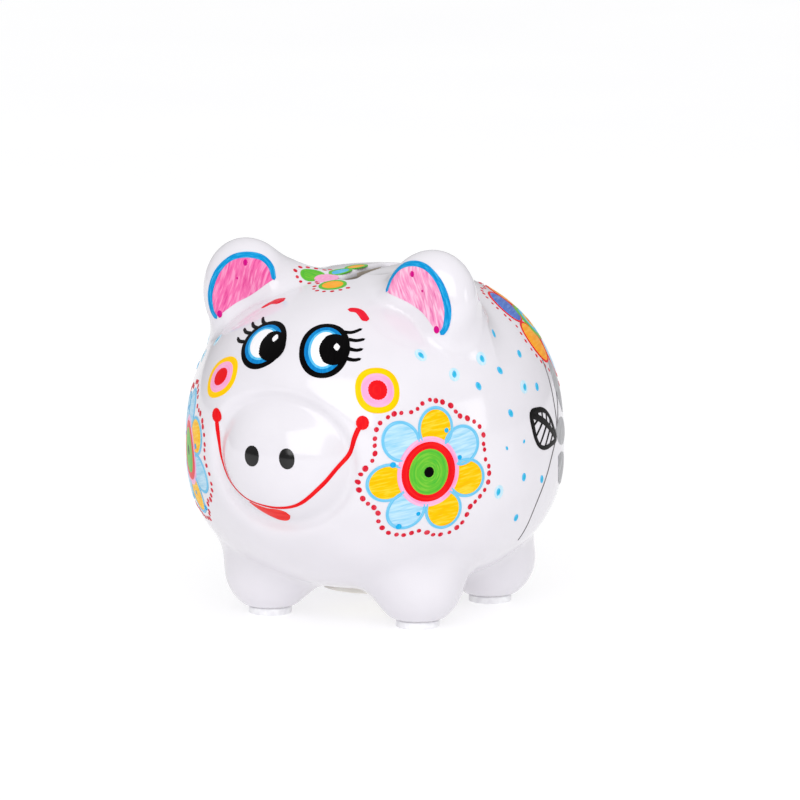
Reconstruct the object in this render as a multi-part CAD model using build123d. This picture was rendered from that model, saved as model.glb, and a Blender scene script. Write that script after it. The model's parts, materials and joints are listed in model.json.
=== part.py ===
from build123d import *
import os
from math import cos, pi, sin

# Piggy bank: a hollow slip-cast pig of glazed earthenware, with a rubber stopper in its belly
# and a stick-on foot pad under each leg. Millimetres. +Z is up, the pig faces -Y, and +X is
# the pig's own left. The pig is drawn about the middle of its body, then moved so that the
# origin is under the middle of the whole bank, on the surface that it stands on.

# ---- driving dimensions -------------------------------------------------------------------
BODY_HALF_WIDTH = 69.2
BODY_HALF_LENGTH = 73.5
BODY_CENTRE_Z = 62.5
BODY_RISE = 66.4          # from the widest level to the top of the back
BODY_DROP = 52.3          # from the widest level to the belly
BODY_FULLNESS = 2.39      # exponent of the profile: 2 is an ellipse, more is squarer
WALL = 4.5

FACE_CENTRE = (0, -42.0, 75.0)
FACE_RADII = (44.0, 37.5, 42.0)
SNOUT_CENTRE = (0, -67.5, 67.0)
SNOUT_RADII = (24.5, 17.0, 21.5)

EAR_CENTRE = (37.0, -28.5, 118.8)
EAR_RADII = (18.5, 11.3, 21.8)
EAR_LEAN = 17.0           # degrees outwards from upright
CUP_CENTRE = (35.3, -43.5, 121.8)
CUP_RADII = (14.5, 7.5, 15.0)

LEG_X = 30.9
FRONT_LEG_Y = -25.7
REAR_LEG_Y = 33.6
LEG_RADIUS = 16.8         # each leg is a ball, cut flat at the foot
LEG_CENTRE_Z = 17.3
LEG_CAVITY_LIFT = 2.0     # extra thickness under the hollow of a leg

TAIL_RADIUS = 7.0         # of the curl's centre line
TAIL_THICKNESS = 5.0
TAIL_Y = 72.6
TAIL_Z = 84.0

SLOT_LENGTH = 38.0
SLOT_WIDTH = 5.5
SLOT_CENTRE_Y = -5.0

HOLE_RADIUS = 15.0
SEAT_RADIUS = 26.0        # flat ring ground on the belly for the stopper's flange and tab
SEAT_Z = 11.6

FLANGE_RADIUS = 20.0
FLANGE_THICKNESS = 2.8
FLANGE_ROUND = 0.9
NECK_CLEARANCE = 0.3      # the rubber's squeeze in the hole isn't modelled
NECK_RELIEF = 0.9         # depth of the grooves between the ribs
NECK_WALL = 3.0
NECK_HEIGHT = 11.0
RIB_HEIGHT = 1.8
RIB_COUNT = 3
TAB_REACH = 5.0           # how far the pull tab stands past the flange
TAB_WIDTH = 12.0

PAD_RADIUS = 8.0
PAD_THICKNESS = 2.7
PAD_ROUND = 0.5
GLUE_RADIUS = 7.6
GLUE_THICKNESS = 0.3

FOOT_Z = PAD_THICKNESS + GLUE_THICKNESS
LEG_PLACES = {
    "front_left": (LEG_X, FRONT_LEG_Y),
    "front_right": (-LEG_X, FRONT_LEG_Y),
    "rear_left": (LEG_X, REAR_LEG_Y),
    "rear_right": (-LEG_X, REAR_LEG_Y),
}
QUARTER_STEPS = 7


# ---- shapes shared by several pieces --------------------------------------------------------
def ellipsoid(radii, centre):
    """An ellipsoid with its axes along X, Y and Z."""
    return Pos(*centre) * scale(Sphere(1), by=radii)


def mirrored(shape):
    """The same shape on the pig's other side."""
    return mirror(shape, about=Plane.YZ)


def profile_point(radius, rise, turn):
    """A point of the body's outline, where turn goes from 0 at the pole to 1 at the widest level."""
    angle = turn * pi / 2
    power = 2 / BODY_FULLNESS
    return radius * sin(angle) ** power, rise * max(cos(angle), 0) ** power


def egg(inset):
    """The body's egg: a full profile turned about Z, then stretched along Y."""
    radius = BODY_HALF_WIDTH - inset
    turns = [step / QUARTER_STEPS for step in range(QUARTER_STEPS + 1)]
    upper = [profile_point(radius, BODY_RISE - inset, turn) for turn in turns]
    lower = [profile_point(radius, inset - BODY_DROP, turn) for turn in reversed(turns)]
    upper[-1] = lower[0] = (radius, 0)
    lower[-1] = (0, inset - BODY_DROP)
    with BuildSketch(Plane.XZ) as half:
        with BuildLine():
            Spline(*upper, tangents=[(1, 0), (0, -1)])
            Spline(*lower, tangents=[(0, -1), (-1, 0)])
            Line(lower[-1], upper[0])
        make_face()
    turned = revolve(half.sketch, Axis.Z, 360)
    stretch = (BODY_HALF_LENGTH - inset) / radius
    return Pos(0, 0, BODY_CENTRE_Z) * scale(turned, by=(1, stretch, 1))


def leg(place):
    """A stubby leg: a ball that runs up into the belly, with a flat foot."""
    ball = Pos(*place, LEG_CENTRE_Z) * Sphere(LEG_RADIUS)
    below_foot = Pos(*place, FOOT_Z - LEG_RADIUS) * Cylinder(LEG_RADIUS, 2 * LEG_RADIUS)
    return ball - below_foot


def leg_cavity(place):
    """The hollow that the casting leaves inside a leg."""
    return Pos(*place, LEG_CENTRE_Z + LEG_CAVITY_LIFT) * Sphere(LEG_RADIUS - WALL)


# ---- the ceramic casting --------------------------------------------------------------------
def left_ear():
    """A rounded, upright ear that leans outwards and is cupped in front."""
    blade = Pos(*EAR_CENTRE) * Rot(0, EAR_LEAN, 0) * scale(Sphere(1), by=EAR_RADII)
    return blade - ellipsoid(CUP_RADII, CUP_CENTRE)


def tail():
    """A small curl that lies against the rump, with a rounded tip."""
    curl = Torus(TAIL_RADIUS, TAIL_THICKNESS / 2, major_angle=290)
    curl = Pos(0, TAIL_Y, TAIL_Z) * Rot(90, 0, 0) * curl
    tip = Pos(TAIL_RADIUS, TAIL_Y, TAIL_Z) * Sphere(TAIL_THICKNESS / 2)
    return curl + tip


def ceramic_shell():
    """The whole pig is one casting: body, snout, legs, ears and tail, hollow, with its slot and hole."""
    outside = egg(0) + ellipsoid(FACE_RADII, FACE_CENTRE) + ellipsoid(SNOUT_RADII, SNOUT_CENTRE)
    cavity = egg(WALL) + ellipsoid(tuple(r - WALL for r in SNOUT_RADII), SNOUT_CENTRE)
    for place in LEG_PLACES.values():
        outside += leg(place)
        cavity += leg_cavity(place)
    ear = left_ear()
    pig = outside + ear + mirrored(ear) + tail()
    below_seat = Pos(0, 0, SEAT_Z - WALL / 2) * Cylinder(SEAT_RADIUS, WALL)
    hole = Pos(0, 0, SEAT_Z) * Cylinder(HOLE_RADIUS, 4 * WALL)
    slot_z = BODY_CENTRE_Z + BODY_RISE
    slot = Pos(0, SLOT_CENTRE_Y, slot_z) * extrude(
        SlotOverall(SLOT_LENGTH, SLOT_WIDTH, rotation=90), 4 * WALL, both=True
    )
    return pig - below_seat - cavity - hole - slot


# ---- the belly stopper ----------------------------------------------------------------------
def belly_stopper():
    """A soft rubber plug: a round flange with a pull tab, and a ribbed, cup-shaped neck."""
    rib_radius = HOLE_RADIUS - NECK_CLEARANCE
    core_radius = rib_radius - NECK_RELIEF
    flange = Pos(0, 0, -FLANGE_THICKNESS / 2) * Cylinder(FLANGE_RADIUS, FLANGE_THICKNESS)
    tab = Pos(0, FLANGE_RADIUS + TAB_REACH - TAB_WIDTH / 2, -FLANGE_THICKNESS / 2) * Cylinder(
        TAB_WIDTH / 2, FLANGE_THICKNESS
    )
    base = flange + tab
    base = fillet(base.faces().sort_by(Axis.Z)[0].edges(), FLANGE_ROUND)
    neck = Pos(0, 0, NECK_HEIGHT / 2) * Cylinder(core_radius, NECK_HEIGHT)
    pitch = NECK_HEIGHT / RIB_COUNT
    for rib in range(RIB_COUNT):
        rib_z = pitch * (rib + 0.5)
        neck += Pos(0, 0, rib_z) * Cylinder(rib_radius, RIB_HEIGHT)
    cup = Pos(0, 0, NECK_HEIGHT / 2) * Cylinder(core_radius - NECK_WALL, NECK_HEIGHT)
    return Pos(0, 0, SEAT_Z) * (base + (neck - cup))


# ---- the feet -------------------------------------------------------------------------------
def foot_pad(place):
    """A stick-on pad with softened edges, flat on both faces."""
    pad = Pos(*place, PAD_THICKNESS / 2) * Cylinder(PAD_RADIUS, PAD_THICKNESS)
    return fillet(pad.edges().filter_by(GeomType.CIRCLE), PAD_ROUND)


def pad_adhesive(place):
    """The pad's sticky layer, between the pad and the unglazed ring of the foot."""
    return Pos(*place, PAD_THICKNESS + GLUE_THICKNESS / 2) * Cylinder(GLUE_RADIUS, GLUE_THICKNESS)


# ---- the bank ---------------------------------------------------------------------------------
def bank_pieces():
    """Every piece of the bank by its node name, drawn about the middle of the body."""
    pieces = {"ceramic_shell": ceramic_shell(), "belly_stopper": belly_stopper()}
    for name, place in LEG_PLACES.items():
        pieces["foot_pad_" + name] = foot_pad(place)
        pieces["pad_adhesive_" + name] = pad_adhesive(place)
    return pieces


pieces = bank_pieces()
shell_box = pieces["ceramic_shell"].bounding_box()
to_origin = Pos(0, -(shell_box.min.Y + shell_box.max.Y) / 2, 0)
os.makedirs("parts", exist_ok=True)
for node, piece in pieces.items():
    export_step(to_origin * piece, f"parts/{node}.step")
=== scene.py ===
"""Looks of a hand-painted ceramic piggy bank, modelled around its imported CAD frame.

The bank is a hollow casting of white glazed earthenware with a rubber stopper in its belly and a pad
under each foot. One distance field, the blended sum of its rounded masses, gives the casting's surface.
The casting's mesh is pressed onto that field, and each painted motif is a thin raised film of porcelain
paint that is drawn flat about a spot and then dropped onto the glaze.
Lengths are millimetres about the middle of the body until a mesh is finished, and metres after that.
"""
import json
import logging
import math
import random
from collections.abc import Callable, Sequence
from dataclasses import dataclass
from enum import Enum

import bmesh
import bpy
import numpy as np
from mathutils import Matrix, Vector

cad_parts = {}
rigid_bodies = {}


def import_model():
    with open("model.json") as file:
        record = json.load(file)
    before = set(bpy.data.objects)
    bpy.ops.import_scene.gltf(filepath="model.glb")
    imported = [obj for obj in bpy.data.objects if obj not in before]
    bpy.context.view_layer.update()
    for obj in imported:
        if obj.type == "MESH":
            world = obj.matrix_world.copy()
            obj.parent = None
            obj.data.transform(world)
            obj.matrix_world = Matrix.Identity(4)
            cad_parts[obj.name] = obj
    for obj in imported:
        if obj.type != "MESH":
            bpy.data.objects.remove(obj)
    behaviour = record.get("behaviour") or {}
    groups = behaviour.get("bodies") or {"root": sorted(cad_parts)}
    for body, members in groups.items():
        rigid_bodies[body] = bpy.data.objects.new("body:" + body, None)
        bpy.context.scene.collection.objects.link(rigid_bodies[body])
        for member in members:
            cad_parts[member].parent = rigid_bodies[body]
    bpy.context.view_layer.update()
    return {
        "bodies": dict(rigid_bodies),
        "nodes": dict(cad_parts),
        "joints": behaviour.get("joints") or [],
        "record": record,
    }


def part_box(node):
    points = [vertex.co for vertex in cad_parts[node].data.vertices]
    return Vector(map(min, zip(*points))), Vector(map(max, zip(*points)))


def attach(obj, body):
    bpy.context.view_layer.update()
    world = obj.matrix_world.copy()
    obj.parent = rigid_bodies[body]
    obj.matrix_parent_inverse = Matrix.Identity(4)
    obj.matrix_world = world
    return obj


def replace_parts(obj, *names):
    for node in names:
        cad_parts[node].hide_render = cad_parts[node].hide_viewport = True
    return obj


MM = 0.001
BODY = "bank"
SHELL = "ceramic_shell"
STROKE_MAP = "strokes"
FRONT = (0.0, -1.0, 0.0)
SPAN_STEPS = 14
Field = Callable[[np.ndarray], np.ndarray]
log = logging.getLogger("piggy_bank")


# ---- colours and materials ------------------------------------------------------------------------
class Ink(Enum):
    """The porcelain pens, each with its full tone, its tone where it lies thin and where it pools."""

    RED = ("#e3141c", "#e92a24", "#cf0d18")
    CORAL = ("#ea2c26", "#ef4536", "#da2020")
    BROW_RED = ("#e2182f", "#e8303f", "#d11027")
    BLACK = ("#030203", "#0a090a", "#010101")
    IRIS_BLUE = ("#0a7cc2", "#229bd8", "#055a9e")
    SKY = ("#52b8e6", "#86d0ef", "#2a9fda")
    WHITE = ("#efeef1", "#e8e7ea", "#f6f5f8")
    ROSE = ("#f2a5cd", "#f8c8e0", "#e678b4")
    YELLOW = ("#fcc800", "#fdd420", "#f6a81c")
    EAR_PINK = ("#ee98c1", "#f8cadf", "#df6aa5")
    EAR_ROSE = ("#e96aa6", "#f29ac2", "#da4890")
    EAR_BLUE = ("#0b8fcd", "#3fb0e0", "#0678b4")
    MAGENTA = ("#cc0f80", "#d83a97", "#ad0a6c")
    PETAL_YELLOW = ("#fabe00", "#fdd94e", "#f6a70d")
    PETAL_BLUE = ("#a6d2ea", "#cbe5f4", "#76c1df")
    LINE_BLUE = ("#6fbfe4", "#9bd2ec", "#3aa8da")
    DROP_BLUE = ("#14a4de", "#3bb5e4", "#0c8ec8")
    GREEN = ("#5db935", "#93cb44", "#2aa83c")
    DOT_RED = ("#cf1f35", "#da4f5e", "#ba1026")
    DEW = ("#2fb2d6", "#6cc8e0", "#0f92bd")
    HALO = ("#bfe0ee", "#d3ebf4", "#a3d4e6")
    INDIGO = ("#4f74c6", "#7a9edb", "#3b58b2")
    ORANGE = ("#f8a51c", "#fbbf52", "#ea8d14")
    LEAF_BLACK = ("#100f10", "#201e1f", "#080808")
    STEM_GREY = ("#6f6c6e", "#8c898b", "#565355")
    LEAF_GREY = ("#a3a3a6", "#c3c3c6", "#838386")


def linear(hex_colour: str) -> tuple[float, float, float, float]:
    """Turns an sRGB hex colour to linear light.

    Args:
        hex_colour: Six hex digits after a hash.
    Returns:
        Red, green, blue and an alpha of one.
    """
    channels = [int(hex_colour[start:start + 2], 16) / 255 for start in (1, 3, 5)]
    light = [c / 12.92 if c <= 0.04045 else ((c + 0.055) / 1.055) ** 2.4 for c in channels]
    return (*light, 1.0)


def add_node(tree: bpy.types.NodeTree, kind: str, values: dict | None = None, links: dict | None = None,
             **settings: object) -> bpy.types.Node:
    """Adds one node with its settings, values and links.

    Args:
        tree: The node tree to add to.
        kind: The node's type name.
        values: Input values, by input name or number.
        links: Output sockets to link from, by input name or number.
        settings: Properties of the node itself.
    Returns:
        The new node.
    """
    node = tree.nodes.new(kind)
    for name, value in settings.items():
        setattr(node, name, value)
    for key, value in (values or {}).items():
        node.inputs[key].default_value = value
    for key, socket in (links or {}).items():
        tree.links.new(socket, node.inputs[key])
    return node


def start_material(name: str, **shader_values: object) -> tuple[bpy.types.Material, bpy.types.Node]:
    """Starts a material on one shader.

    Args:
        name: The material's name.
        shader_values: The shader's constant inputs, with underscores for spaces.
    Returns:
        The material and its shader node.
    """
    material = bpy.data.materials.new(name)
    material.use_nodes = True
    shader = material.node_tree.nodes["Principled BSDF"]
    for key, value in shader_values.items():
        shader.inputs[key.replace("_", " ")].default_value = value
    return material, shader


@dataclass(frozen=True)
class MottledFinish:
    """A finish of two close tones that drift into each other, with a fine relief and, if lit, a glow."""

    name: str
    light_tone: str
    dark_tone: str
    drift_mm: float
    grain_mm: float
    relief_mm: float
    roughness: float
    ior: float
    glow: float = 0.0

    def material(self) -> bpy.types.Material:
        """Makes the finish's material."""
        material, shader = start_material(self.name, Roughness=self.roughness, IOR=self.ior,
                                          Emission_Strength=self.glow)
        tree = material.node_tree
        place = add_node(tree, "ShaderNodeTexCoord").outputs["Object"]
        drift = add_node(tree, "ShaderNodeTexNoise", {"Scale": 1 / (self.drift_mm * MM), "Detail": 2.0},
                         {"Vector": place})
        share = add_node(tree, "ShaderNodeMapRange", {"From Min": 0.35, "From Max": 0.65},
                         {"Value": drift.outputs["Fac"]})
        tone = add_node(tree, "ShaderNodeMix", {6: linear(self.light_tone), 7: linear(self.dark_tone)},
                        {0: share.outputs["Result"]}, data_type="RGBA")
        grain = add_node(tree, "ShaderNodeTexNoise", {"Scale": 1 / (self.grain_mm * MM), "Detail": 3.0},
                         {"Vector": place})
        relief = add_node(tree, "ShaderNodeBump", {"Strength": 1.0, "Distance": self.relief_mm * MM},
                          {"Height": grain.outputs["Fac"]})
        tree.links.new(tone.outputs[2], shader.inputs["Base Color"])
        tree.links.new(relief.outputs["Normal"], shader.inputs["Normal"])
        return material


# Earthenware under a clear glossy glaze: a cool bright white that reflects the room sharply, and hardly
# rises and falls where the glaze ran before it set.
GLAZE = MottledFinish("white_glazed_earthenware", "#e2dfe5", "#dedbe1", 26.0, 9.0, 0.012, 0.11, 1.5)
# Unglazed bisque: the inside of a slip casting, a warm matt chalky clay with a fine tooth, darkened past
# the clay's own tone so that it also paints the shade down inside the coin slot.
BISQUE_AND_SLOT_SHADE = MottledFinish("bisque_earthenware", "#c6baac", "#b5a99b", 11.0, 0.9, 0.03, 0.85, 1.5)
# Moulded soft rubber: cream white, satin, with the faint tooth of a blasted mould.
RUBBER = MottledFinish("moulded_rubber", "#e9e6df", "#dedad2", 7.0, 0.7, 0.02, 0.5, 1.52)
# Closed-cell foam: a chalk-white pad whose skin shows its small cells.
FOAM = MottledFinish("closed_cell_foam", "#f6f6f8", "#e9e8ec", 3.0, 0.8, 0.09, 0.75, 1.45)
# Acrylic adhesive: a thin milky layer that catches a soft light along its edge.
ADHESIVE = MottledFinish("acrylic_adhesive", "#e7e5e6", "#d9d6d8", 4.0, 1.2, 0.03, 0.35, 1.47)
# Opal acrylic lit from below: the light table that the bank stands on, satin, with a faint cloudiness.
OPAL = MottledFinish("lit_opal_acrylic", "#b6b6b7", "#b4b4b6", 240.0, 2.5, 0.004, 0.5, 1.46, 0.57)


@dataclass(frozen=True)
class PenFinish:
    """Porcelain paint from a pen: strokes side by side, thin where they part and deep where they lap."""

    ink: Ink
    stroke_mm: float = 0.8
    stroke_length_mm: float = 9.0
    patchiness: float = 0.5
    roughness: float = 0.3
    shine: float = 0.04

    def material(self) -> bpy.types.Material:
        """Makes the pen's material, or returns it if it is made already."""
        name = f"porcelain_pen_{self.ink.name.lower()}_{round(self.patchiness * 100)}"
        if name in bpy.data.materials:
            return bpy.data.materials[name]
        full, thin, deep = (linear(tone) for tone in self.ink.value)
        material, shader = start_material(name, Roughness=self.roughness, IOR=1.5,
                                          Specular_IOR_Level=self.shine)
        tree = material.node_tree
        place = add_node(tree, "ShaderNodeUVMap", uv_map=STROKE_MAP).outputs["UV"]
        along = add_node(tree, "ShaderNodeMapping",
                         {"Scale": (1 / self.stroke_mm, 1 / self.stroke_length_mm, 1.0)}, {"Vector": place})
        streak = add_node(tree, "ShaderNodeTexNoise", {"Scale": 1.0, "Detail": 2.5, "Roughness": 0.6},
                          {"Vector": along.outputs["Vector"]})
        parted, lapped = (
            add_node(tree, "ShaderNodeMapRange",
                     {"From Min": start, "From Max": end, "To Max": self.patchiness},
                     {"Value": streak.outputs["Fac"]}).outputs["Result"]
            for start, end in ((0.5, 0.62), (0.46, 0.34)))
        tone = add_node(tree, "ShaderNodeMix", {6: full, 7: thin}, {0: parted}, data_type="RGBA")
        tone = add_node(tree, "ShaderNodeMix", {7: deep}, {0: lapped, 6: tone.outputs[2]}, data_type="RGBA")
        ridge = add_node(tree, "ShaderNodeBump", {"Strength": 0.6, "Distance": 0.03 * MM},
                         {"Height": streak.outputs["Fac"]})
        tree.links.new(tone.outputs[2], shader.inputs["Base Color"])
        tree.links.new(ridge.outputs["Normal"], shader.inputs["Normal"])
        return material


# ---- the pig's shape ------------------------------------------------------------------------------
def blend_union(a: np.ndarray, b: np.ndarray, reach: float | np.ndarray) -> np.ndarray:
    """Joins two distance fields, with a fillet of about the given reach."""
    overlap = np.maximum(reach - np.abs(a - b), 0.0) / reach
    return np.minimum(a, b) - overlap * overlap * reach * 0.25


def blend_cut(a: np.ndarray, b: np.ndarray, reach: float) -> np.ndarray:
    """Cuts field b out of field a, with an edge rounded to about the given reach."""
    return -blend_union(-a, b, reach)


def ellipsoid(points: np.ndarray, centre: Sequence[float], radii: Sequence[float]) -> np.ndarray:
    """Gives the distance to an ellipsoid, close to true near its surface."""
    scaled = (points - np.asarray(centre)) / np.asarray(radii)
    reach = np.linalg.norm(scaled, axis=1)
    steepness = np.linalg.norm(scaled / np.asarray(radii), axis=1)
    return reach * (reach - 1.0) / np.maximum(steepness, 1e-6)


def mirrored(points: np.ndarray) -> np.ndarray:
    """Folds points onto the pig's left side."""
    folded = points.copy()
    folded[:, 0] = np.abs(folded[:, 0])
    return folded


@dataclass
class PigForm:
    """The casting's shape as distance fields, in millimetres about the middle of the body.

    The pig faces -Y and +X is its left. A field is negative inside its solid. The crease is a shallow
    groove round the snout, which the CAD casting doesn't have.
    """

    middle_y: float = 0.0
    half_width: float = 69.2
    half_length: float = 73.5
    centre_z: float = 62.5
    rise: float = 66.4
    drop: float = 52.3
    fullness: float = 2.39
    wall: float = 4.5
    face_centre: tuple = (0.0, -42.0, 75.0)
    face_radii: tuple = (44.0, 37.5, 42.0)
    face_fillet: float = 14.0
    snout_centre: tuple = (0.0, -67.5, 67.0)
    snout_radii: tuple = (24.5, 17.0, 21.5)
    snout_fillet: float = 4.5
    crease_depth: float = 3.6
    crease_at: float = 1.2
    crease_reach: float = 4.2
    ear_centre: tuple = (37.0, -28.5, 118.8)
    ear_radii: tuple = (18.5, 13.5, 22.0)
    ear_lean: float = 17.0
    ear_front: float = -39.8
    ear_front_round: float = 6.0
    ear_fairing_at: tuple = (-40.0, -33.0, -18.0)
    ear_fairing: tuple = (2.5, 7.0, 20.0)
    cup_centre: tuple = (35.3, -44.0, 121.8)
    cup_radii: tuple = (14.5, 8.0, 15.0)
    cup_edge: float = 2.5
    cup_stop: float = 0.8
    leg_places: tuple = ((30.9, -25.7), (-30.9, -25.7), (30.9, 33.6), (-30.9, 33.6))
    leg_radius: float = 16.8
    leg_z: float = 17.3
    leg_fillet: float = 9.0
    leg_hollow_lift: float = 2.0
    foot_z: float = 3.0
    foot_round: float = 1.2
    tail_centre: tuple = (0.0, 72.4, 84.0)
    tail_radius: float = 7.0
    tail_turn: float = 290.0
    tail_thickness: tuple = (2.1, 3.1)
    tail_fillet: float = 2.4
    slot_centre_y: float = -5.0
    slot_length: float = 38.0
    slot_width: float = 5.5
    slot_lip: float = 2.2
    hole_radius: float = 15.0
    hole_lip: float = 1.2
    seat_radius: float = 26.0
    seat_z: float = 11.6
    seat_edge: float = 0.8

    def egg(self, points: np.ndarray, inset: float = 0.0) -> np.ndarray:
        """Gives the distance to the body's egg, drawn in by an inset."""
        z = points[:, 2] - self.centre_z
        z_reach = np.where(z > 0, self.rise, self.drop) - inset
        level = (points[:, 0] / (self.half_width - inset)) ** 2
        level += (points[:, 1] / (self.half_length - inset)) ** 2
        size = level ** (self.fullness / 2) + np.abs(z / z_reach) ** self.fullness
        size = np.maximum(size ** (1 / self.fullness), 1e-6)
        return (size - 1.0) * np.linalg.norm(points - [0, 0, self.centre_z], axis=1) / size

    def ear(self, folded: np.ndarray) -> np.ndarray:
        """Gives the distance to the left ear's blade: a leaning ellipsoid with a flattened front."""
        x, y, z = (folded - np.asarray(self.ear_centre)).T
        lean = math.radians(self.ear_lean)
        across = x * math.cos(lean) - z * math.sin(lean)
        upward = x * math.sin(lean) + z * math.cos(lean)
        blade = ellipsoid(np.stack([across, y, upward], -1), (0, 0, 0), self.ear_radii)
        return blend_cut(blade, folded[:, 1] - self.ear_front, self.ear_front_round)

    def trunk(self, points: np.ndarray) -> np.ndarray:
        """Gives the distance to the body, face, snout and legs."""
        body = blend_union(self.egg(points), ellipsoid(points, self.face_centre, self.face_radii),
                           self.face_fillet)
        snout = ellipsoid(points, self.snout_centre, self.snout_radii)
        body += self.crease_depth * np.exp(-((snout - self.crease_at) / self.crease_reach) ** 2)
        body = blend_union(body, snout, self.snout_fillet)
        for place in self.leg_places:
            leg = np.linalg.norm(points - [*place, self.leg_z], axis=1) - self.leg_radius
            body = blend_union(body, leg, self.leg_fillet)
        return blend_cut(body, points[:, 2] - self.foot_z, self.foot_round)

    def tail(self, points: np.ndarray) -> np.ndarray:
        """Gives the distance to the tail: a curl that thins towards its tip."""
        x, y, z = (points - np.asarray(self.tail_centre)).T
        turn = np.degrees(np.arctan2(z, x)) % 360
        past_root = (turn > self.tail_turn) & (turn < (self.tail_turn + 360) / 2)
        turn = np.where(turn > self.tail_turn, np.where(past_root, self.tail_turn, 0.0), turn)
        thickness = np.interp(turn, (0, self.tail_turn), self.tail_thickness)
        x -= self.tail_radius * np.cos(np.radians(turn))
        z -= self.tail_radius * np.sin(np.radians(turn))
        return np.sqrt(x * x + y * y + z * z) - thickness

    def outside(self, points: np.ndarray) -> np.ndarray:
        """Gives the distance to the bank's outer surface, before its slot and hole are cut."""
        trunk = self.trunk(points)
        folded = mirrored(points)
        fairing = np.interp(points[:, 1], self.ear_fairing_at, self.ear_fairing)
        eared = blend_union(trunk, self.ear(folded), fairing)
        cup = ellipsoid(folded, self.cup_centre, self.cup_radii)
        cupped = blend_union(blend_cut(eared, cup, self.cup_edge), trunk, self.cup_stop)
        return blend_union(cupped, self.tail(points), self.tail_fillet)

    def hollow(self, points: np.ndarray) -> np.ndarray:
        """Gives the distance to the space inside the bank."""
        inside = self.egg(points, self.wall)
        snout = ellipsoid(points, self.snout_centre, [r - self.wall for r in self.snout_radii])
        inside = blend_union(inside, snout, self.snout_fillet)
        for place in self.leg_places:
            centre = [*place, self.leg_z + self.leg_hollow_lift]
            leg = np.linalg.norm(points - centre, axis=1) - (self.leg_radius - self.wall)
            inside = blend_union(inside, leg, self.leg_fillet / 2)
        return inside

    def solid(self, points: np.ndarray) -> np.ndarray:
        """Gives the distance to the ceramic itself, hollow, slot, hole and ground seat included."""
        x, y, z = points.T
        reach = np.hypot(x, y)
        seat = np.maximum(reach - self.seat_radius, z - self.seat_z)
        clay = np.maximum(blend_cut(self.outside(points), seat, self.seat_edge), -self.hollow(points))
        straight = (self.slot_length - self.slot_width) / 2
        run = np.maximum(np.abs(y - self.slot_centre_y) - straight, 0.0)
        slot = np.maximum(np.hypot(x, run) - self.slot_width / 2, self.centre_z - z)
        hole = np.maximum(reach - self.hole_radius, z - self.centre_z)
        return blend_cut(blend_cut(clay, slot, self.slot_lip), hole, self.hole_lip)

    def gradient(self, points: np.ndarray, shape: Field) -> np.ndarray:
        """Gives the slope of one of the fields at each point."""
        step = 0.02
        sides = [shape(points + step * axis) - shape(points - step * axis) for axis in np.eye(3)]
        return np.stack(sides, -1) / (2 * step)

    def normals(self, points: np.ndarray, shape: Field | None = None) -> np.ndarray:
        """Gives the outward direction at each point, of the outer surface unless another is given."""
        slope = self.gradient(points, shape or self.outside)
        return slope / np.maximum(np.linalg.norm(slope, axis=1, keepdims=True), 1e-9)

    def settle(self, points: np.ndarray, shape: Field | None = None, rounds: int = 4) -> np.ndarray:
        """Moves points onto a surface.

        Args:
            points: Points near the surface.
            shape: The surface's field, or None for the outer surface.
            rounds: How many corrections are made.
        Returns:
            The moved points.
        """
        shape = shape or self.outside
        longest_move, least_slope = 2.0, 0.05
        for _ in range(rounds):
            slope = self.gradient(points, shape)
            move = shape(points) / np.maximum((slope * slope).sum(1), least_slope)
            points = points - slope * np.clip(move, -longest_move, longest_move)[:, None]
        return points

    def march(self, points: np.ndarray, direction: np.ndarray) -> np.ndarray:
        """Moves points along a direction until they meet the outer surface."""
        most_rounds, caution, longest_back, longest_step, close_enough = 60, 0.8, -1.5, 6.0, 0.001
        for _ in range(most_rounds):
            gap = np.clip(self.outside(points) * caution, longest_back, longest_step)
            points = points + direction * gap[:, None]
            if np.abs(gap).max() < close_enough:
                break
        return points

    def to_frame(self, points: np.ndarray) -> np.ndarray:
        """Turns millimetres about the middle of the body into metres in the row's frame."""
        return (points + [0.0, self.middle_y, 0.0]) * MM


# ---- meshes and objects ---------------------------------------------------------------------------
def coordinates(verts: Sequence) -> np.ndarray:
    """Gives the places of vertices as an array."""
    return np.array([vert.co for vert in verts], float).reshape(-1, 3)


def face_middles(bm: bmesh.types.BMesh) -> np.ndarray:
    """Gives the middle of each face as an array."""
    return np.array([face.calc_center_median() for face in bm.faces], float)


def move_to(verts: Sequence, places: np.ndarray) -> None:
    """Puts each vertex at its place."""
    for vert, place in zip(verts, places):
        vert.co = place


def new_object(name: str, bm: bmesh.types.BMesh,
               materials: Sequence[bpy.types.Material] = ()) -> bpy.types.Object:
    """Makes an object from a mesh in hand, and frees the mesh in hand.

    Args:
        name: The object's name.
        bm: The mesh in hand.
        materials: The object's materials, in slot order.
    Returns:
        The object, smooth shaded and linked to the scene.
    """
    mesh = bpy.data.meshes.new(name)
    for face in bm.faces:
        face.smooth = True
    bm.to_mesh(mesh)
    bm.free()
    for material in materials:
        mesh.materials.append(material)
    made = bpy.data.objects.new(name, mesh)
    bpy.context.scene.collection.objects.link(made)
    return made


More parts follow.
